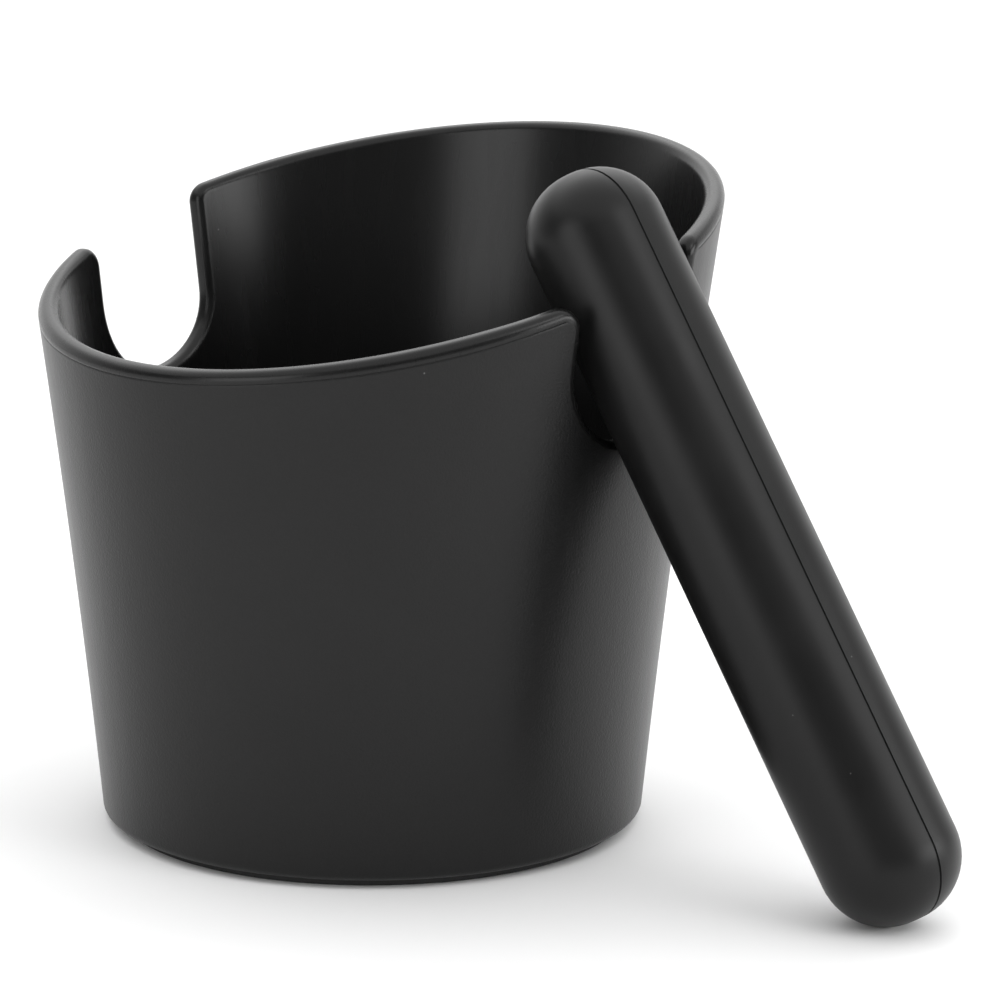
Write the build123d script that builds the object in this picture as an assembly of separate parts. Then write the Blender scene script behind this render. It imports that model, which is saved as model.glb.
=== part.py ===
from build123d import *
import math
import os

# Espresso knock box: an open tub with a slanted rim and two half-round slots, and a loose rubber-covered
# knock bar. The bar is shown lifted out of its seat, leaning in the right-hand slot with its foot on the
# counter. Millimetres, +Z up. The origin is on the counter under the middle of the tub. The slots lie
# along X, the bar leans on the +X side, and the rim is lowest towards -Y.

# ---- tub ----
BASE_RADIUS = 50.0        # outside of the wall at its lower edge
TOP_RADIUS = 64.9         # outside of the wall at the moulding blank's top
BLANK_SPARE = 1.71        # how far the blank stands over the highest point of the slanted rim
WALL_BOW = 0.8            # how far the wall bows in from a straight cone at half height
WALL = 3.75               # wall thickness
FLOOR = 3.0               # floor thickness
FLOOR_CORNER = 6.0        # inside radius between floor and wall
LOWER_EDGE = 1.6          # outside radius of the lower edge
RIM_HEIGHT = 106.9        # rim's height above the counter at the tub's axis
RIM_SLANT = 15.0          # degrees, the rim rises towards +Y
RIM_FLAT = 0.35           # flat left between the two edge radii along the rim and round the slots

# ---- slots for the bar ----
SLOT_WIDTH = 28.0
SLOT_DROP = 15.7          # how far the centre of the half-round seat is under the rim
HORN_RADIUS = 3.8         # rounded corner between the rim and a slot's side

# ---- rubber pad under the tub ----
PAD_INSET = 2.8           # from the wall's lower edge in to the pad
PAD_THICKNESS = 2.8
PAD_PROUD = 1.5           # how far the pad lifts the tub off the counter
PAD_EDGE = 0.4
PAD_FIT = 0.15            # gap round the pad in its recess

# ---- knock bar ----
BAR_DIAMETER = 24.6
BAR_LENGTH = 139.6
BAR_END_FLAT = 0.9        # radius of the small flat left in the middle of each rounded end
BAR_LEAN = 30.8           # degrees from upright
BAR_SKEW = 5.0            # degrees that the bar's foot is swung out of the slots' line
REST_GAP = 0.3            # air between the leaning bar and the slot's edge
GROOVE_WIDTH = 0.5        # parting groove of the rubber
GROOVE_DEPTH = 0.25
GROOVE_TURN = -20.0       # degrees that the parting plane is turned about the bar's axis

# ---- steel core inside the bar ----
CORE_DIAMETER = 16.0
CORE_WALL = 1.5
END_COVER = 8.0           # rubber beyond each end of the capped core
PLUG_FLANGE = 1.6
PLUG_DEPTH = 9.0
PLUG_LEAD = 0.8           # chamfer on the plug's inner end

# ---- worked out from the sizes above ----
SLANT = math.tan(math.radians(RIM_SLANT))
TUB_BOTTOM = PAD_PROUD
FLOOR_TOP = TUB_BOTTOM + FLOOR
BLANK_TOP = RIM_HEIGHT + SLANT * TOP_RADIUS + BLANK_SPARE
RIM_ROUND = (WALL - RIM_FLAT) / 2
SLOT_CENTRE_HEIGHT = RIM_HEIGHT - SLOT_DROP
PAD_RADIUS = BASE_RADIUS - PAD_INSET
BAR_RADIUS = BAR_DIAMETER / 2
BAR_END_ROUND = BAR_RADIUS - BAR_END_FLAT
CORE_RADIUS = CORE_DIAMETER / 2
CAPPED_CORE = BAR_LENGTH - 2 * END_COVER
CORE_LENGTH = CAPPED_CORE - 2 * PLUG_FLANGE


def wall_radius(height):
    """Outside radius of the flared wall at a height."""
    share = (height - TUB_BOTTOM) / (BLANK_TOP - TUB_BOTTOM)
    return BASE_RADIUS + (TOP_RADIUS - BASE_RADIUS) * share - 4 * WALL_BOW * share * (1 - share)


def flared_solid(bottom, inset, corner):
    """Solid of revolution inside the flared wall, from a height up to the blank's top, lower edge rounded."""
    middle = (bottom + BLANK_TOP) / 2
    low = (wall_radius(bottom) - inset, bottom)
    mid = (wall_radius(middle) - inset, middle)
    high = (wall_radius(BLANK_TOP) - inset, BLANK_TOP)
    outline = ThreePointArc(low, mid, high) + Polyline(high, (0, BLANK_TOP), (0, bottom), low)
    solid = revolve(Plane.XZ * make_face(outline), Axis.Z)
    return fillet(solid.edges().sort_by(Axis.Z)[0], corner)


def rim_and_slot_cutter():
    """Prism along X that slants the rim and opens both slots in one pass."""
    half = SLOT_WIDTH / 2
    reach = TOP_RADIUS + 10
    top = BLANK_TOP + SLANT * reach

    def rim(y):
        return (y, RIM_HEIGHT + SLANT * y)

    path = Polyline((half, SLOT_CENTRE_HEIGHT), rim(half), rim(reach), (reach, top), (-reach, top),
                    rim(-reach), rim(-half), (-half, SLOT_CENTRE_HEIGHT))
    seat_bottom = SLOT_CENTRE_HEIGHT - half
    seat = ThreePointArc((-half, SLOT_CENTRE_HEIGHT), (0, seat_bottom), (half, SLOT_CENTRE_HEIGHT))
    profile = make_face(path + seat)
    horns = [v for v in profile.vertices()
             if abs(abs(v.X) - half) < 0.01 and v.Y > SLOT_CENTRE_HEIGHT + 1]
    profile = fillet(horns, HORN_RADIUS)
    return extrude(Plane.YZ * profile, 2 * reach, both=True)


def on_wall_face(edge):
    """True for an edge that runs along the outside or the inside of the wall, not across it."""
    start = edge @ 0
    end = edge @ 1
    across = math.hypot(start.X, start.Y) - math.hypot(end.X, end.Y)
    climb = wall_radius(start.Z) - wall_radius(end.Z)
    return abs(across - climb) < WALL / 2 and edge.center().X > WALL


def make_tub():
    """One half is cut and rounded, then mirrored: the tub is the same on both sides of the YZ plane."""
    recess_depth = PAD_THICKNESS - PAD_PROUD
    recess = Pos(0, 0, TUB_BOTTOM) * Cylinder(PAD_RADIUS + PAD_FIT, recess_depth,
                                              align=(Align.CENTER, Align.CENTER, Align.MIN))
    shell = flared_solid(TUB_BOTTOM, 0, LOWER_EDGE) - flared_solid(FLOOR_TOP, WALL, FLOOR_CORNER)
    seam_away = Rot(0, 0, 180) * (shell - recess)
    right_side = Box(2 * TOP_RADIUS, 4 * TOP_RADIUS, 4 * BLANK_TOP,
                     align=(Align.MIN, Align.CENTER, Align.CENTER))
    half = (seam_away & right_side) - rim_and_slot_cutter()
    seat_bottom = SLOT_CENTRE_HEIGHT - SLOT_WIDTH / 2
    mouth = [e for e in half.edges() if e.center().Z > seat_bottom - 1 and on_wall_face(e)]
    half = fillet(mouth, RIM_ROUND)
    return half + mirror(half, Plane.YZ)


def make_base_pad():
    pad = Cylinder(PAD_RADIUS, PAD_THICKNESS, align=(Align.CENTER, Align.CENTER, Align.MIN))
    return fillet(pad.edges().sort_by(Axis.Z)[0], PAD_EDGE)


def bar_plane():
    """Frame of the leaning bar: origin at its lower tip, Z up along the bar, X on its upper side."""
    lean = math.radians(BAR_LEAN)
    skew = math.radians(BAR_SKEW)
    edge_height = SLOT_CENTRE_HEIGHT - SLOT_WIDTH / 2 - RIM_ROUND
    edge_reach = wall_radius(edge_height) - RIM_ROUND
    clear = BAR_RADIUS + REST_GAP + RIM_ROUND
    along = Vector(-math.sin(lean) * math.cos(skew), -math.sin(lean) * math.sin(skew), math.cos(lean))
    upper_side = Vector(math.cos(lean) * math.cos(skew), math.cos(lean) * math.sin(skew), math.sin(lean))
    beside_edge = Vector(edge_reach, 0, edge_height) + upper_side * clear
    foot_height = BAR_END_ROUND + (BAR_RADIUS - BAR_END_ROUND) * math.sin(lean)
    foot = beside_edge - along * ((beside_edge.Z - foot_height) / along.Z)
    return Plane(origin=foot - along * BAR_END_ROUND, x_dir=upper_side, z_dir=along)


def upright_cylinder(radius, start, length):
    """Cylinder about the bar's axis, its start measured from the bar's lower tip."""
    return Pos(0, 0, start) * Cylinder(radius, length, align=(Align.CENTER, Align.CENTER, Align.MIN))


def round_ended_bar(inset):
    """The bar's outer shape, drawn in by an inset all round."""
    bar = upright_cylinder(BAR_RADIUS - inset, inset, BAR_LENGTH - 2 * inset)
    return fillet(bar.edges().filter_by(GeomType.CIRCLE), BAR_END_ROUND - inset)


def make_sleeve():
    slab = Rot(0, 0, GROOVE_TURN) * Box(2 * BAR_DIAMETER, GROOVE_WIDTH, 3 * BAR_LENGTH)
    body = round_ended_bar(0)
    groove = (body & slab) - round_ended_bar(GROOVE_DEPTH)
    return body - groove - upright_cylinder(CORE_RADIUS, END_COVER, CAPPED_CORE)


def make_core_tube():
    start = END_COVER + PLUG_FLANGE
    tube = upright_cylinder(CORE_RADIUS, start, CORE_LENGTH)
    return tube - upright_cylinder(CORE_RADIUS - CORE_WALL, start, CORE_LENGTH)


def make_lower_plug():
    flange = upright_cylinder(CORE_RADIUS, END_COVER, PLUG_FLANGE)
    stem = upright_cylinder(CORE_RADIUS - CORE_WALL, END_COVER + PLUG_FLANGE, PLUG_DEPTH)
    stem = chamfer(stem.edges().sort_by(Axis.Z)[-1], PLUG_LEAD)
    return flange + stem


def make_upper_plug():
    """The lower plug turned end for end about the bar's middle."""
    middle = BAR_LENGTH / 2
    return Pos(0, 0, middle) * Rot(180, 0, 0) * Pos(0, 0, -middle) * make_lower_plug()


def main():
    os.makedirs("parts", exist_ok=True)
    lean_in_slot = bar_plane().location
    nodes = {
        "tub": make_tub(),
        "base_pad": make_base_pad(),
        "bar_sleeve": lean_in_slot * make_sleeve(),
        "bar_core_tube": lean_in_slot * make_core_tube(),
        "bar_lower_plug": lean_in_slot * make_lower_plug(),
        "bar_upper_plug": lean_in_slot * make_upper_plug(),
    }
    for name, solid in nodes.items():
        export_step(solid, f"parts/{name}.step")


main()
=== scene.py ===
import bmesh
import bpy
import math
from mathutils import Matrix, Quaternion, Vector


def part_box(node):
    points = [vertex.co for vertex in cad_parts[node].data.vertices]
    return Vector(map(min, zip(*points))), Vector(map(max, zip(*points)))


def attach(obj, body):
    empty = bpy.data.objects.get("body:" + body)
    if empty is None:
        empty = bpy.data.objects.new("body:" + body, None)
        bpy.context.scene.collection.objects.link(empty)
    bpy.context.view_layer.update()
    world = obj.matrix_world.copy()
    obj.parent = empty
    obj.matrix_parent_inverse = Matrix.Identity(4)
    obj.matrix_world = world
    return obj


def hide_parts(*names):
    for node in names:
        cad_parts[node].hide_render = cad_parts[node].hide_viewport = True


# Espresso knock box: a moulded black tub with a slanted rim and two slots, on a rubber pad, and a
# rubber-covered knock bar that leans in the right-hand slot. Metres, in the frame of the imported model.

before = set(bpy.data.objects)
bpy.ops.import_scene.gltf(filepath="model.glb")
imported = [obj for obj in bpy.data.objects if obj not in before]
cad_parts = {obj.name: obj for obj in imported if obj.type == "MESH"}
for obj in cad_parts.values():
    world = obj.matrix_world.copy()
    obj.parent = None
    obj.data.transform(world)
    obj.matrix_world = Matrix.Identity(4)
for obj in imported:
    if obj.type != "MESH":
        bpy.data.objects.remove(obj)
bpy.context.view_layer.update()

# ---- tub ----
BASE_RADIUS = 0.0500          # outside of the wall at its lower edge
TOP_RADIUS = 0.0649           # outside of the wall at BLANK_TOP
BLANK_TOP = 0.1260
WALL_BOW = 0.0008             # how far the wall bows in from a straight cone
WALL = 0.00375
FLOOR = 0.0030
FLOOR_CORNER = 0.0060
LOWER_EDGE = 0.0016
RIM_HEIGHT = 0.1069           # at the tub's axis
RIM_SLANT = math.radians(15.0)
RIM_ROUND = 0.0017
SLOT_OUTER_ROUND = 0.0013     # the slots' outer edge is crisper than the rim's
SEAT_RADIUS = 0.0140          # half the slots' width
SEAT_HEIGHT = 0.0912          # centre of the half-round seat
HORN_RADIUS = 0.0038          # rounded corner between the rim and a slot's side
RECESS_RADIUS = 0.04735
PARTING_WIDTH = 0.00022       # fine mould line where the smooth rim meets the textured wall
PARTING_DEPTH = 0.00007
PARTING_BELOW = 0.00025       # from the end of the rim's rounding down to the mould line

# ---- pad ----
PAD_RADIUS = 0.0472
PAD_EDGE = 0.0004

# ---- knock bar ----
BAR_RADIUS = 0.0123
BAR_LENGTH = 0.1396
BAR_END_ROUND = 0.0114
BAR_LEAN = math.radians(30.8)
BAR_SKEW = math.radians(5.0)
REST_GAP = 0.0003
GROOVE_WIDTH = 0.0005
GROOVE_DEPTH = 0.00025
GROOVE_TURN = math.radians(-20.0)
GROOVE_LIP = 0.00012          # rounded lip on each side of the parting groove

# ---- mesh densities ----
WALL_COLUMNS = 56             # from a slot's surroundings to the middle of the front or back
SURROUND_COLUMNS = 8          # from a slot's edge band out to its surroundings' frame
HORN_COLUMNS = 12
SIDE_COLUMNS = 9
SEAT_COLUMNS = 10             # along an eighth of a turn of the seat
LOWER_ROWS = 16
ROUND_STEPS = 7
BAR_COLUMNS = 72
BAR_ROWS = 30
END_STEPS = 14

SLOPE = math.tan(RIM_SLANT)
BAND = HORN_RADIUS                            # width of the edge band round the mouth
BAND_DROP = BAND / math.cos(RIM_SLANT)        # the same width measured straight down from the rim
SURROUND = 0.0300                             # half width of the square surroundings of a slot
TUB_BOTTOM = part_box("tub")[0].z
PAD_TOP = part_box("base_pad")[1].z
FLOOR_TOP = TUB_BOTTOM + FLOOR


# ================= shapes shared by the pieces =================

def wall_radius(height):
    """Outside radius of the flared wall at a height."""
    share = (height - TUB_BOTTOM) / (BLANK_TOP - TUB_BOTTOM)
    return BASE_RADIUS + (TOP_RADIUS - BASE_RADIUS) * share - 4 * WALL_BOW * share * (1 - share)


def rounded_corner(corner, side_a, side_b, radius, steps):
    """Points of a fillet at a corner, from the side that runs along side_a to the one along side_b."""
    a = side_a.normalized()
    b = side_b.normalized()
    half_angle = a.angle(b) / 2
    centre = corner + (a + b).normalized() * (radius / math.sin(half_angle))
    reach = radius / math.tan(half_angle)
    start = corner + a * reach - centre
    end = corner + b * reach - centre
    turn = start.angle(end)
    points = []
    for i in range(steps + 1):
        t = i / steps
        swung = start * math.sin((1 - t) * turn) + end * math.sin(t * turn)
        points.append(centre + swung / math.sin(turn))
    return points


def placed_grid(bm, columns, rows, place):
    """A grid of quads whose vertex at column i and row j is moved to place(i, j)."""
    made = bmesh.ops.create_grid(bm, x_segments=columns, y_segments=rows, size=0.5)
    for v in made["verts"]:
        i = round((v.co.x + 0.5) * columns)
        j = round((v.co.y + 0.5) * rows)
        v.co = place(i, j)
    return made["verts"]


def finish_piece(bm, name, material, body, stands_for, sharp=40.0):
    """Closes a bmesh into a smooth-shaded object that rides on a body in place of a CAD node."""
    bmesh.ops.remove_doubles(bm, verts=bm.verts, dist=1e-6)
    bmesh.ops.recalc_face_normals(bm, faces=bm.faces)
    mesh = bpy.data.meshes.new(name)
    bm.to_mesh(mesh)
    bm.free()
    mesh.shade_smooth()
    mesh.set_sharp_from_angle(angle=math.radians(sharp))
    mesh.materials.append(material)
    piece = bpy.data.objects.new(name, mesh)
    bpy.context.scene.collection.objects.link(piece)
    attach(piece, body)
    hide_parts(stands_for)
    return piece


# ================= tub =================
# The wall is laid out on a sheet with two coordinates: across, from -2 at the front over -1 .. 1 round a
# slot to 2 at the back, and height. The sheet is placed on the outside or the inside of the wall.

def across_y(inset, across, height):
    """Distance to the front or the back of a place on the wall."""
    radius = wall_radius(height) - inset
    if abs(across) <= 1:
        return across * SURROUND
    side = math.copysign(1, across)
    start = math.asin(SURROUND / radius)
    angle = start + (abs(across) - 1) * (math.pi / 2 - start)
    return side * radius * math.sin(angle)


def on_wall(inset, sheet_point):
    """Place on the wall, inset from its outside, of a point (across, height) of the sheet."""
    across, height = sheet_point
    radius = wall_radius(height) - inset
    y = across_y(inset, across, height)
    return Vector((math.sqrt(max(radius * radius - y * y, 0)), y, height))


def rim_height(inset, across):
    """Height of the slanted rim plane where it meets the wall."""
    height = RIM_HEIGHT
    for _ in range(8):
        height = RIM_HEIGHT + SLOPE * across_y(inset, across, height)
    return height


def blend_points(start, end, share):
    return (start[0] + (end[0] - start[0]) * share, start[1] + (end[1] - start[1]) * share)


def seat_point(radius, angle):
    return (radius * math.cos(angle) / SURROUND, SEAT_HEIGHT + radius * math.sin(angle))


def horn_centre(side):
    y = side * (SEAT_RADIUS + HORN_RADIUS)
    return (y / SURROUND, RIM_HEIGHT + SLOPE * y - BAND_DROP)


def half_mouth(side):
    """Edge of the mouth on one side, from the front or back middle to the seat's lowest point. Each entry
    holds how the point on the edge and the one on the band's far side depend on the wall's inset, and a
    number that goes from 0 on the rim to 1 on the slot."""
    centre = horn_centre(side)
    horn_start = math.pi / 2 + RIM_SLANT
    horn_end = 0 if side < 0 else math.pi
    line = []

    def on_rim(across):
        line.append((lambda inset: (across, rim_height(inset, across)),
                     lambda inset: (across, rim_height(inset, across) - BAND_DROP), 0))

    def fixed(edge, far, slot_share):
        line.append((lambda inset: edge, lambda inset: far, slot_share))

    for i in range(WALL_COLUMNS):
        on_rim(side * (2 - i / WALL_COLUMNS))
    for i in range(SURROUND_COLUMNS):
        far = blend_points((side, rim_height(0, side) - BAND_DROP), centre, i / SURROUND_COLUMNS)
        y = far[0] * SURROUND - HORN_RADIUS * math.sin(RIM_SLANT) * i / SURROUND_COLUMNS
        fixed((y / SURROUND, RIM_HEIGHT + SLOPE * y), far, 0)
    for i in range(HORN_COLUMNS):
        angle = horn_start + (horn_end - horn_start) * i / HORN_COLUMNS
        across = centre[0] + HORN_RADIUS * math.cos(angle) / SURROUND
        edge = (across, centre[1] + HORN_RADIUS * math.sin(angle))
        fixed(edge, centre, i / HORN_COLUMNS)
    for i in range(SIDE_COLUMNS):
        height = centre[1] + (SEAT_HEIGHT - centre[1]) * i / SIDE_COLUMNS
        fixed((side * SEAT_RADIUS / SURROUND, height), (centre[0], height), 1)
    for i in range(2 * SEAT_COLUMNS + 1):
        turn = math.pi / 2 * i / (2 * SEAT_COLUMNS)
        angle = math.pi + turn if side < 0 else -turn
        fixed(seat_point(SEAT_RADIUS, angle), seat_point(SEAT_RADIUS + BAND, angle), 1)
    return line


def band_section(edge, far, slot_share):
    """Points across the mouth's edge band, from its far side on the outside over the rounded edge to its
    far side on the inside, each with 1 where the outside is textured and 0 where it is smooth. The mould
    line runs out on the horns: round a slot the texture goes up to the edge."""
    outer_corner = on_wall(0, edge(0))
    inner_corner = on_wall(WALL, edge(WALL))
    across_wall = inner_corner - outer_corner

    def rounding(inset, corner, along_cut, radius):
        down = on_wall(inset, blend_points(edge(inset), far(inset), 0.3)) - corner
        width = (on_wall(inset, far(inset)) - corner).length
        reach = radius / math.tan(down.angle(along_cut) / 2)
        tangent = on_wall(inset, blend_points(edge(inset), far(inset), reach / width))
        arc = rounded_corner(corner, tangent - corner, along_cut, radius, ROUND_STEPS)
        return arc, reach / width, width

    outer_radius = RIM_ROUND + (SLOT_OUTER_ROUND - RIM_ROUND) * slot_share
    outer_arc, outer_start, width = rounding(0, outer_corner, across_wall, outer_radius)
    inner_arc, inner_start, _ = rounding(WALL, inner_corner, -across_wall, RIM_ROUND)
    textured = min(1, 3 * slot_share)
    outward = Vector((outer_corner.x, outer_corner.y, 0)).normalized()
    line_start = outer_start + PARTING_BELOW / width
    line_end = line_start + PARTING_WIDTH / width
    section = []
    for share in (1, 0.5 * (1 + line_end), line_end + 0.08):
        section.append((on_wall(0, blend_points(edge(0), far(0), share)), 1))
    section.append((on_wall(0, blend_points(edge(0), far(0), line_end)), 1))
    middle = on_wall(0, blend_points(edge(0), far(0), (line_start + line_end) / 2))
    section.append((middle - outward * PARTING_DEPTH * (1 - textured), textured))
    section.append((on_wall(0, blend_points(edge(0), far(0), line_start)), textured))
    section += [(point, 0) for point in outer_arc]
    section += [(point, 0) for point in reversed(inner_arc)]
    for share in (inner_start + 0.12, 0.5 * (1 + inner_start), 1):
        section.append((on_wall(WALL, blend_points(edge(WALL), far(WALL), share)), 0))
    return section


def make_edge_band(bm, texture):
    """The rounded edge of the rim, the horns and the slots, with the mould line under it."""
    front = half_mouth(-1)
    back = half_mouth(1)
    mouth = [band_section(*entry) for entry in front + back[-2::-1]]
    stations = len(mouth[0])
    verts = placed_grid(bm, len(mouth) - 1, stations - 1, lambda i, j: mouth[i][j][0])
    for index, v in enumerate(verts):
        v[texture] = mouth[index % len(mouth)][index // len(mouth)][1]


def side_patches(inset, bottom, side):
    """One side of the sheet below the edge band, as ruled patches. Each holds its columns, its rows, its
    upper curve and its lower curve."""
    frame_bottom = SEAT_HEIGHT - SURROUND
    centre = horn_centre(side)

    def rim_end(t):
        return (side * (2 - t), rim_height(inset, side * (2 - t)) - BAND_DROP)

    def level(height):
        share = (rim_end(1)[1] - height) / (rim_end(1)[1] - bottom)
        return lambda t: blend_points(rim_end(t), (side * (2 - t), bottom), share)

    def seat_arc(start):
        def at(t):
            turn = (start + t) * math.pi / 4
            return seat_point(SEAT_RADIUS + BAND, math.pi + turn if side < 0 else -turn)
        return at

    return [
        (WALL_COLUMNS, SIDE_COLUMNS, rim_end, level(SEAT_HEIGHT)),
        (WALL_COLUMNS, SEAT_COLUMNS, level(SEAT_HEIGHT), level(frame_bottom)),
        (WALL_COLUMNS, LOWER_ROWS, level(frame_bottom), level(bottom)),
        (SURROUND_COLUMNS, SIDE_COLUMNS,
         lambda t: blend_points(rim_end(1), centre, t),
         lambda t: blend_points((side, SEAT_HEIGHT), (centre[0], SEAT_HEIGHT), t)),
        (SEAT_COLUMNS, SURROUND_COLUMNS, seat_arc(0), lambda t: (side, SEAT_HEIGHT - SURROUND * t)),
        (SEAT_COLUMNS, SURROUND_COLUMNS, seat_arc(1), lambda t: (side * (1 - t), frame_bottom)),
        (SEAT_COLUMNS, LOWER_ROWS,
         lambda t: (side * (1 - t), frame_bottom),
         lambda t: (side * (1 - t), bottom)),
    ]


def make_wall_side(bm, texture, inset, bottom, textured):
    for columns, rows, upper, lower in side_patches(inset, bottom, -1) + side_patches(inset, bottom, 1):
        def place(i, j):
            return on_wall(inset, blend_points(upper(i / columns), lower(i / columns), j / rows))

        verts = placed_grid(bm, columns, rows, place)
        for v in verts:
            v[texture] = textured


def make_turned_end(bm, texture, inset, profile, textured):
    """Closes a wall's lower end with a turned profile, given as points (radius, 0, height)."""
    bottom = profile[0].z
    profile[0].x = wall_radius(bottom) - inset
    ring = [i / WALL_COLUMNS - 2 for i in range(WALL_COLUMNS)]
    ring += [i / SEAT_COLUMNS - 1 for i in range(2 * SEAT_COLUMNS)]
    ring += [1 + i / WALL_COLUMNS for i in range(WALL_COLUMNS + 1)]
    shares = [on_wall(inset, (across, bottom)).y / profile[0].x for across in ring]
    angles = [math.asin(max(-1, min(1, share))) for share in shares]

    def place(i, j):
        radius = profile[j].x
        return Vector((radius * math.cos(angles[i]), radius * math.sin(angles[i]), profile[j].z))

    for v in placed_grid(bm, len(ring) - 1, len(profile) - 1, place):
        v[texture] = textured


def spread(start, end, steps):
    """Points from after start up to end, evenly spaced."""
    return [start.lerp(end, (i + 1) / steps) for i in range(steps)]


def underside_profile():
    """Lower edge, foot ring and pad recess, from the wall to the axis."""
    corner = Vector((wall_radius(TUB_BOTTOM), 0, TUB_BOTTOM))
    up = Vector((wall_radius(TUB_BOTTOM + LOWER_EDGE), 0, TUB_BOTTOM + LOWER_EDGE)) - corner
    inward = Vector((-1, 0, 0))
    edge = Vector((RECESS_RADIUS, 0, TUB_BOTTOM))
    roof = Vector((RECESS_RADIUS, 0, PAD_TOP))
    profile = rounded_corner(corner, up, inward, LOWER_EDGE, ROUND_STEPS)
    profile += rounded_corner(edge, -inward, Vector((0, 0, 1)), PAD_EDGE / 2, 3)
    profile += [roof]
    profile += spread(roof, Vector((0, 0, PAD_TOP)), 10)
    return profile


def floor_profile():
    """Inside corner and floor, from the wall to the axis."""
    corner = Vector((wall_radius(FLOOR_TOP) - WALL, 0, FLOOR_TOP))
    up = Vector((wall_radius(FLOOR_TOP + FLOOR_CORNER) - WALL, 0, FLOOR_TOP + FLOOR_CORNER)) - corner
    profile = rounded_corner(corner, up, Vector((-1, 0, 0)), FLOOR_CORNER, 8)
    return profile + spread(profile[-1], Vector((0, 0, FLOOR_TOP)), 12)


def make_tub(material):
    bm = bmesh.new()
    texture = bm.verts.layers.float.new("mould_texture")
    outside = underside_profile()
    inside = floor_profile()
    make_edge_band(bm, texture)
    make_wall_side(bm, texture, 0, outside[0].z, 1)
    make_wall_side(bm, texture, WALL, inside[0].z, 0)
    make_turned_end(bm, texture, 0, outside, 1)
    make_turned_end(bm, texture, WALL, inside, 0)
    bmesh.ops.remove_doubles(bm, verts=bm.verts, dist=1e-6)
    bmesh.ops.mirror(bm, geom=bm.verts[:] + bm.edges[:] + bm.faces[:], axis="X", merge_dist=1e-6)
    return finish_piece(bm, "tub_shell", material, "tub_body", "tub")


# ================= base pad =================

def make_pad(material):
    bm = bmesh.new()
    bmesh.ops.create_cone(bm, cap_ends=True, segments=160, radius1=PAD_RADIUS, radius2=PAD_RADIUS,
                          depth=PAD_TOP)
    bmesh.ops.translate(bm, verts=bm.verts, vec=(0, 0, PAD_TOP / 2))
    lower = [e for e in bm.edges if all(v.co.z < PAD_EDGE for v in e.verts)]
    bmesh.ops.bevel(bm, geom=lower, offset=PAD_EDGE, offset_type="OFFSET", affect="EDGES",
                    segments=4, profile=0.5, material=-1, clamp_overlap=True)
    caps = [f for f in bm.faces if len(f.verts) > 4]
    bmesh.ops.inset_region(bm, faces=caps, thickness=PAD_RADIUS / 12)
    return finish_piece(bm, "foot_pad", material, "tub_body", "base_pad", 50.0)


# ================= knock bar =================

def bar_matrix():
    """Place of the leaning bar: origin at its lower tip, Z up along the bar, X on its upper side."""
    along = Vector((-math.sin(BAR_LEAN) * math.cos(BAR_SKEW), -math.sin(BAR_LEAN) * math.sin(BAR_SKEW),
                    math.cos(BAR_LEAN)))
    upper_side = Vector((math.cos(BAR_LEAN) * math.cos(BAR_SKEW), math.cos(BAR_LEAN) * math.sin(BAR_SKEW),
                         math.sin(BAR_LEAN)))
    edge_height = SEAT_HEIGHT - SEAT_RADIUS - RIM_ROUND
    edge = Vector((wall_radius(edge_height) - RIM_ROUND, 0, edge_height))
    beside_edge = edge + upper_side * (BAR_RADIUS + REST_GAP + RIM_ROUND)
    foot_height = BAR_END_ROUND + (BAR_RADIUS - BAR_END_ROUND) * math.sin(BAR_LEAN)
    foot = beside_edge - along * ((beside_edge.z - foot_height) / along.z)
    turn = Matrix((upper_side, along.cross(upper_side), along)).transposed().to_4x4()
    return Matrix.Translation(foot - along * BAR_END_ROUND) @ turn


def bar_profile():
    """Half outline of the bar, from its lower tip to its upper one."""
    tip = Vector((0, 0, 0))
    corner = Vector((BAR_RADIUS, 0, 0))
    lower = [tip] + rounded_corner(corner, Vector((-1, 0, 0)), Vector((0, 0, 1)), BAR_END_ROUND, END_STEPS)
    upper = [Vector((p.x, 0, BAR_LENGTH - p.z)) for p in reversed(lower)]
    return lower + spread(lower[-1], upper[0], BAR_ROWS)[:-1] + upper


def make_sleeve(material):
    bm = bmesh.new()
    verts = [bm.verts.new(p) for p in bar_profile()]
    edges = [bm.edges.new(pair) for pair in zip(verts, verts[1:])]
    bmesh.ops.spin(bm, geom=verts + edges, cent=(0, 0, 0), axis=(0, 0, 1), dvec=(0, 0, 0),
                   angle=2 * math.pi, steps=BAR_COLUMNS, use_merge=True, use_duplicate=False)
    bmesh.ops.remove_doubles(bm, verts=bm.verts, dist=1e-6)
    half = GROOVE_WIDTH / 2
    offsets = (half + GROOVE_LIP, half, half - GROOVE_LIP, half / 4)
    for offset in [side * o for o in offsets for side in (-1, 1)]:
        bmesh.ops.bisect_plane(bm, geom=bm.verts[:] + bm.edges[:] + bm.faces[:], dist=1e-7,
                               plane_co=(0, offset, 0), plane_no=(0, 1, 0))
    bmesh.ops.recalc_face_normals(bm, faces=bm.faces)
    bm.normal_update()
    sunk = [(v, v.normal.copy()) for v in bm.verts if abs(v.co.y) < half - 1e-6]
    for v, outward in sunk:
        share = min(1, (half - abs(v.co.y)) / GROOVE_LIP)
        v.co -= outward * GROOVE_DEPTH * share
    bmesh.ops.rotate(bm, verts=bm.verts, cent=(0, 0, 0), matrix=Matrix.Rotation(GROOVE_TURN, 3, "Z"))
    bmesh.ops.transform(bm, matrix=bar_matrix(), verts=bm.verts)
    return finish_piece(bm, "bar_grip", material, "knock_bar", "bar_sleeve", 60.0)


# ================= materials =================

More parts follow.
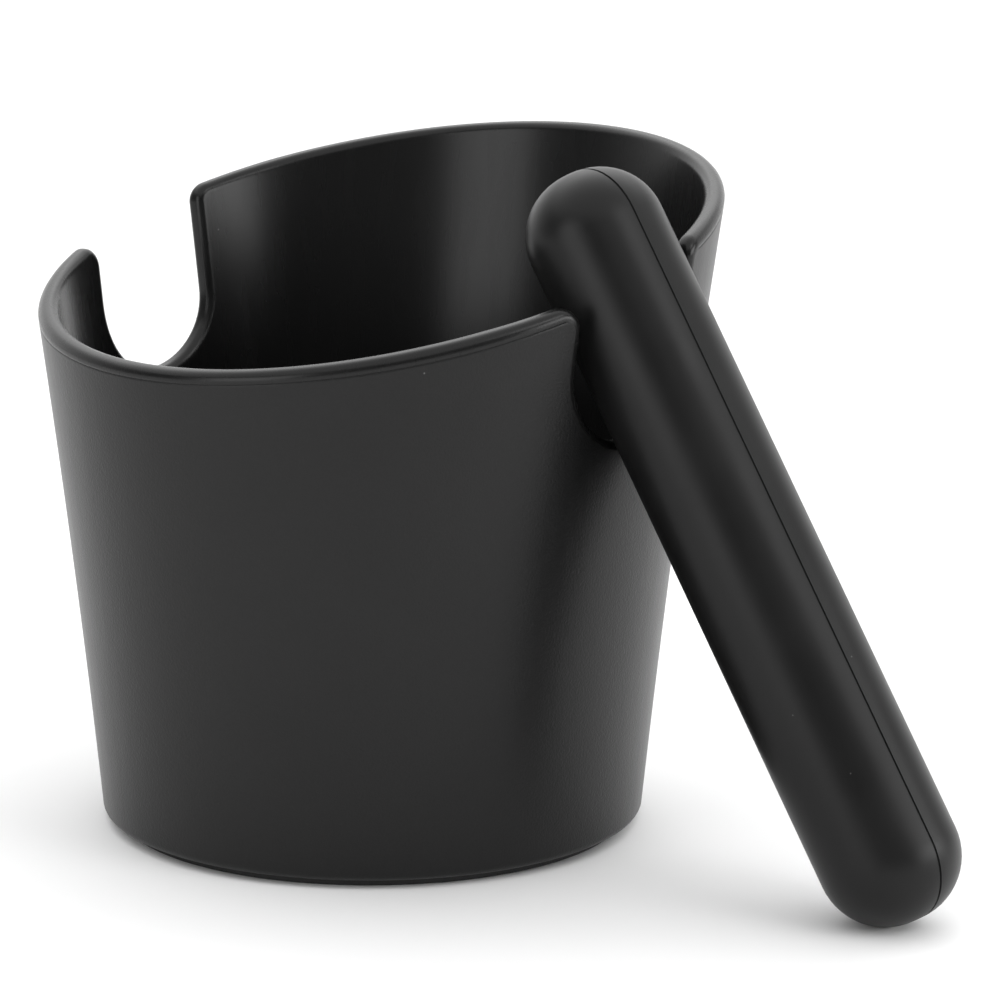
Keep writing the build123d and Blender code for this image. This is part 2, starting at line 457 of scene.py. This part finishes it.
def add_node(tree, kind, values=None, **settings):
    """A node with its settings, and each input set to a value or linked to another node's output."""
    made = tree.nodes.new(kind)
    for name, value in settings.items():
        setattr(made, name, value)
    for name, value in (values or {}).items():
        if isinstance(value, bpy.types.NodeSocket):
            tree.links.new(value, made.inputs[name])
        else:
            made.inputs[name].default_value = value
    return made


def math_node(tree, operation, *values, clamp=False):
    made = add_node(tree, "ShaderNodeMath", dict(enumerate(values)), operation=operation, use_clamp=clamp)
    return made.outputs[0]


def ramp(tree, value, low, high, out_low, out_high):
    return add_node(tree, "ShaderNodeMapRange", {"Value": value, "From Min": low, "From Max": high,
                                                 "To Min": out_low, "To Max": out_high}).outputs[0]


def noise(tree, vector, scale, detail=2.0, roughness=0.5):
    return add_node(tree, "ShaderNodeTexNoise", {"Vector": vector, "Scale": scale, "Detail": detail,
                                                 "Roughness": roughness}).outputs["Fac"]


def new_group(name, inputs, outputs):
    """A shader node group with named float or vector inputs and float outputs."""
    group = bpy.data.node_groups.new(name, "ShaderNodeTree")
    for label, kind, value in inputs:
        made = group.interface.new_socket(name=label, in_out="INPUT", socket_type=kind)
        if value is not None:
            made.default_value = value
    for label in outputs:
        group.interface.new_socket(name=label, in_out="OUTPUT", socket_type="NodeSocketFloat")
    return group, group.nodes.new("NodeGroupInput"), group.nodes.new("NodeGroupOutput")


def make_spark_group():
    """Fine eroded mould texture: small sharp grains on a slow unevenness."""
    inputs = [("Vector", "NodeSocketVector", None), ("Grain Scale", "NodeSocketFloat", 2300.0)]
    group, given, out = new_group("spark_texture", inputs, ["Height", "Tone"])
    fine = noise(group, given.outputs["Vector"], given.outputs["Grain Scale"], 2.0, 0.6)
    wide_scale = math_node(group, "MULTIPLY", given.outputs["Grain Scale"], 0.21)
    wide = noise(group, given.outputs["Vector"], wide_scale, 2.0, 0.5)
    height = math_node(group, "ADD", fine, math_node(group, "MULTIPLY", wide, 0.35))
    group.links.new(height, out.inputs["Height"])
    group.links.new(ramp(group, fine, 0.3, 0.7, 0.0, 1.0), out.inputs["Tone"])
    return group


def make_dust_group():
    """Sparse pale specks of dust."""
    group, given, out = new_group("dust_specks", [("Vector", "NodeSocketVector", None),
                                                  ("Speck Scale", "NodeSocketFloat", 160.0),
                                                  ("Speck Size", "NodeSocketFloat", 0.03)], ["Mask"])
    cells = add_node(group, "ShaderNodeTexVoronoi", {"Vector": given.outputs["Vector"],
                                                     "Scale": given.outputs["Speck Scale"]})
    near = math_node(group, "LESS_THAN", cells.outputs["Distance"], given.outputs["Speck Size"])
    split = add_node(group, "ShaderNodeSeparateColor", {"Color": cells.outputs["Color"]})
    chosen = math_node(group, "GREATER_THAN", split.outputs["Red"], 0.72)
    group.links.new(math_node(group, "MULTIPLY", near, chosen), out.inputs["Mask"])
    return group


def make_flow_group():
    """Slow variation of a moulded skin: broad cloudy patches with faint streaks."""
    inputs = [("Vector", "NodeSocketVector", None), ("Patch Scale", "NodeSocketFloat", 40.0)]
    group, given, out = new_group("moulding_flow", inputs, ["Patches", "Streaks"])
    patches = noise(group, given.outputs["Vector"], given.outputs["Patch Scale"], 3.0, 0.5)
    stretch = {"Vector": given.outputs["Vector"], "Scale": (6.0, 6.0, 0.35)}
    mapped = add_node(group, "ShaderNodeMapping", stretch)
    streak_scale = math_node(group, "MULTIPLY", given.outputs["Patch Scale"], 1.5)
    group.links.new(patches, out.inputs["Patches"])
    group.links.new(noise(group, mapped.outputs[0], streak_scale, 2.0, 0.5), out.inputs["Streaks"])
    return group


def use_group(tree, group, values):
    made = tree.nodes.new("ShaderNodeGroup")
    made.node_tree = group
    for name, value in values.items():
        if isinstance(value, bpy.types.NodeSocket):
            tree.links.new(value, made.inputs[name])
        else:
            made.inputs[name].default_value = value
    return made.outputs


def new_material(name):
    material = bpy.data.materials.new(name)
    material.use_nodes = True
    tree = material.node_tree
    tree.nodes.clear()
    shader = tree.nodes.new("ShaderNodeBsdfPrincipled")
    out = add_node(tree, "ShaderNodeOutputMaterial", {"Surface": shader.outputs[0]})
    out.location = (400, 0)
    place = tree.nodes.new("ShaderNodeTexCoord").outputs["Object"]
    return material, tree, shader, place


def mix_colour(tree, share, first, second):
    made = add_node(tree, "ShaderNodeMix", data_type="RGBA")
    for socket, value in zip((made.inputs[0], made.inputs[6], made.inputs[7]), (share, first, second)):
        if isinstance(value, bpy.types.NodeSocket):
            tree.links.new(value, socket)
        else:
            socket.default_value = value
    return made.outputs[2]


def grey(value):
    return (value, value, value, 1.0)


def tub_plastic(spark, dust, flow):
    """Black moulded plastic, finely textured outside and satin on the rim and inside."""
    material, tree, shader, place = new_material("moulded_black")
    textured = add_node(tree, "ShaderNodeAttribute", attribute_name="mould_texture").outputs["Fac"]
    grain = use_group(tree, spark, {"Vector": place, "Grain Scale": 2300.0})
    cloud = use_group(tree, flow, {"Vector": place, "Patch Scale": 45.0})
    speck = use_group(tree, dust, {"Vector": place, "Speck Scale": 150.0, "Speck Size": 0.022})["Mask"]
    tone = ramp(tree, grain["Tone"], 0.0, 1.0, -0.3, 0.3)
    shade = math_node(tree, "MULTIPLY_ADD", tone, textured, cloud["Patches"])
    base = mix_colour(tree, shade, grey(0.003), grey(0.006))
    colour = mix_colour(tree, speck, base, grey(0.10))
    tree.links.new(colour, shader.inputs["Base Color"])
    rough = ramp(tree, textured, 0.0, 1.0, 0.27, 0.34)
    rough = math_node(tree, "ADD", rough, ramp(tree, cloud["Streaks"], 0.0, 1.0, -0.03, 0.03))
    tree.links.new(math_node(tree, "MULTIPLY_ADD", speck, 0.3, rough), shader.inputs["Roughness"])
    skin = math_node(tree, "MULTIPLY", cloud["Patches"], 0.4)
    height = math_node(tree, "MULTIPLY_ADD", grain["Height"], textured, skin)
    bump = add_node(tree, "ShaderNodeBump", {"Height": height, "Strength": 0.5, "Distance": 0.00010})
    tree.links.new(bump.outputs[0], shader.inputs["Normal"])
    shader.inputs["IOR"].default_value = 1.35
    return material


def bar_rubber(spark, dust, flow):
    """Smooth matte black rubber with a faint moulded unevenness."""
    material, tree, shader, place = new_material("bar_skin")
    grain = use_group(tree, spark, {"Vector": place, "Grain Scale": 5200.0})
    cloud = use_group(tree, flow, {"Vector": place, "Patch Scale": 70.0})
    speck = use_group(tree, dust, {"Vector": place, "Speck Scale": 190.0, "Speck Size": 0.03})["Mask"]
    base = mix_colour(tree, cloud["Patches"], grey(0.003), grey(0.005))
    tree.links.new(mix_colour(tree, speck, base, grey(0.08)), shader.inputs["Base Color"])
    rough = ramp(tree, cloud["Patches"], 0.2, 0.8, 0.32, 0.42)
    tree.links.new(rough, shader.inputs["Roughness"])
    fine = math_node(tree, "MULTIPLY", grain["Height"], 0.4)
    height = math_node(tree, "MULTIPLY_ADD", cloud["Patches"], 3.0, fine)
    bump = add_node(tree, "ShaderNodeBump", {"Height": height, "Strength": 0.3, "Distance": 0.00006})
    tree.links.new(bump.outputs[0], shader.inputs["Normal"])
    shader.inputs["IOR"].default_value = 1.33
    return material


def pad_rubber(spark, flow):
    """Dark rubber of the foot pad, duller than the bar."""
    material, tree, shader, place = new_material("pad_skin")
    grain = use_group(tree, spark, {"Vector": place, "Grain Scale": 2400.0})
    cloud = use_group(tree, flow, {"Vector": place, "Patch Scale": 60.0})
    tree.links.new(mix_colour(tree, cloud["Patches"], grey(0.010), grey(0.018)), shader.inputs["Base Color"])
    tree.links.new(ramp(tree, grain["Tone"], 0.0, 1.0, 0.55, 0.7), shader.inputs["Roughness"])
    bump = add_node(tree, "ShaderNodeBump", {"Height": grain["Height"], "Strength": 0.5, "Distance": 0.0001})
    tree.links.new(bump.outputs[0], shader.inputs["Normal"])
    return material


def core_steel(flow):
    """Drawn steel tube with fine lengthwise streaks."""
    material, tree, shader, place = new_material("drawn_steel")
    cloud = use_group(tree, flow, {"Vector": place, "Patch Scale": 120.0})
    tree.links.new(mix_colour(tree, cloud["Patches"], grey(0.42), grey(0.55)), shader.inputs["Base Color"])
    tree.links.new(ramp(tree, cloud["Streaks"], 0.2, 0.8, 0.22, 0.38), shader.inputs["Roughness"])
    shader.inputs["Metallic"].default_value = 1.0
    return material


def plug_plastic(spark):
    """Plain dark plastic of the end plugs."""
    material, tree, shader, place = new_material("plug_black")
    grain = use_group(tree, spark, {"Vector": place, "Grain Scale": 2600.0})
    tree.links.new(mix_colour(tree, grain["Tone"], grey(0.03), grey(0.05)), shader.inputs["Base Color"])
    tree.links.new(ramp(tree, grain["Tone"], 0.0, 1.0, 0.4, 0.5), shader.inputs["Roughness"])
    return material


def floor_paint(flow):
    """Plain pale table top."""
    material, tree, shader, place = new_material("pale_floor")
    cloud = use_group(tree, flow, {"Vector": place, "Patch Scale": 3.0})
    tree.links.new(mix_colour(tree, cloud["Patches"], grey(0.90), grey(0.92)), shader.inputs["Base Color"])
    shader.inputs["Roughness"].default_value = 0.8
    shader.inputs["Specular IOR Level"].default_value = 0.1
    return material


# ================= floor, light and camera =================

def make_floor(material):
    bm = bmesh.new()
    bmesh.ops.create_grid(bm, x_segments=1, y_segments=1, size=12.0)
    mesh = bpy.data.meshes.new("floor")
    bm.to_mesh(mesh)
    bm.free()
    mesh.materials.append(material)
    floor = bpy.data.objects.new("floor", mesh)
    bpy.context.scene.collection.objects.link(floor)


CAMERA_PLACE = Vector((0.41826, -0.47927, 0.19001))
CAMERA_AIM = Vector((0.01447, 0.01926, 0.05772))
CAMERA_ROLL = math.radians(0.42)
CAMERA_LENS = 127.07


def make_camera():
    camera = bpy.data.objects.new("camera", bpy.data.cameras.new("camera"))
    bpy.context.scene.collection.objects.link(camera)
    camera.location = CAMERA_PLACE
    camera.rotation_mode = "QUATERNION"
    camera.rotation_quaternion = ((CAMERA_AIM - CAMERA_PLACE).to_track_quat("-Z", "Y")
                                  @ Quaternion((0, 0, 1), CAMERA_ROLL))
    camera.data.lens = CAMERA_LENS
    camera.data.sensor_width = 36.0
    camera.data.clip_start = 0.02
    camera.data.clip_end = 50.0
    bpy.context.scene.camera = camera


def soft_box(name, azimuth, elevation, distance, width, height, radiance):
    """Area light that faces the tub. Azimuth 0 is in front at -Y and 90 is at +X."""
    light = bpy.data.lights.new(name, "AREA")
    light.shape = "RECTANGLE"
    light.size = width
    light.size_y = height
    light.energy = math.pi * radiance * width * height
    holder = bpy.data.objects.new(name, light)
    bpy.context.scene.collection.objects.link(holder)
    a = math.radians(azimuth)
    e = math.radians(elevation)
    away = Vector((math.sin(a) * math.cos(e), -math.cos(a) * math.cos(e), math.sin(e)))
    holder.location = Vector((0, 0, 0.06)) + away * distance
    holder.rotation_mode = "QUATERNION"
    holder.rotation_quaternion = away.to_track_quat("Z", "Y")
    holder.visible_camera = False


def make_world():
    """White surroundings that fall off to a dim grey on the side that the camera stands on."""
    world = bpy.data.worlds.new("white_tent")
    bpy.context.scene.world = world
    world.use_nodes = True
    tree = world.node_tree
    tree.nodes.clear()
    look = tree.nodes.new("ShaderNodeTexCoord").outputs["Generated"]
    front = Vector((CAMERA_PLACE.x, CAMERA_PLACE.y, 0)).normalized()
    dot = add_node(tree, "ShaderNodeVectorMath", {0: look, 1: front}, operation="DOT_PRODUCT")
    facing = dot.outputs["Value"]
    bright = ramp(tree, facing, -0.8, 0.05, 1.40, 0.20)
    surroundings = add_node(tree, "ShaderNodeBackground", {"Color": grey(1.0), "Strength": bright})
    backdrop = add_node(tree, "ShaderNodeBackground", {"Color": grey(1.0), "Strength": 1.0})
    seen = tree.nodes.new("ShaderNodeLightPath").outputs["Is Camera Ray"]
    shown = {0: seen, 1: surroundings.outputs[0], 2: backdrop.outputs[0]}
    both = add_node(tree, "ShaderNodeMixShader", shown)
    add_node(tree, "ShaderNodeOutputWorld", {"Surface": both.outputs[0]})


def main():
    spark = make_spark_group()
    dust = make_dust_group()
    flow = make_flow_group()
    make_tub(tub_plastic(spark, dust, flow))
    make_pad(pad_rubber(spark, flow))
    make_sleeve(bar_rubber(spark, dust, flow))
    steel = core_steel(flow)
    plug = plug_plastic(spark)
    for node, material in (("bar_core_tube", steel), ("bar_lower_plug", plug), ("bar_upper_plug", plug)):
        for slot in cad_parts[node].material_slots:
            slot.material = material
    make_floor(floor_paint(flow))
    make_camera()
    make_world()
    soft_box("left_box", -4, 14, 1.1, 0.60, 0.55, 2.6)
    soft_box("right_box", 108, 12, 1.1, 0.85, 0.40, 5.6)
    soft_box("right_high_box", 90, 38, 1.1, 0.45, 0.30, 3.2)
    soft_box("top_box", 0, 90, 3.0, 8.0, 8.0, 1.12)
    bpy.context.scene.view_settings.view_transform = "Standard"


main()
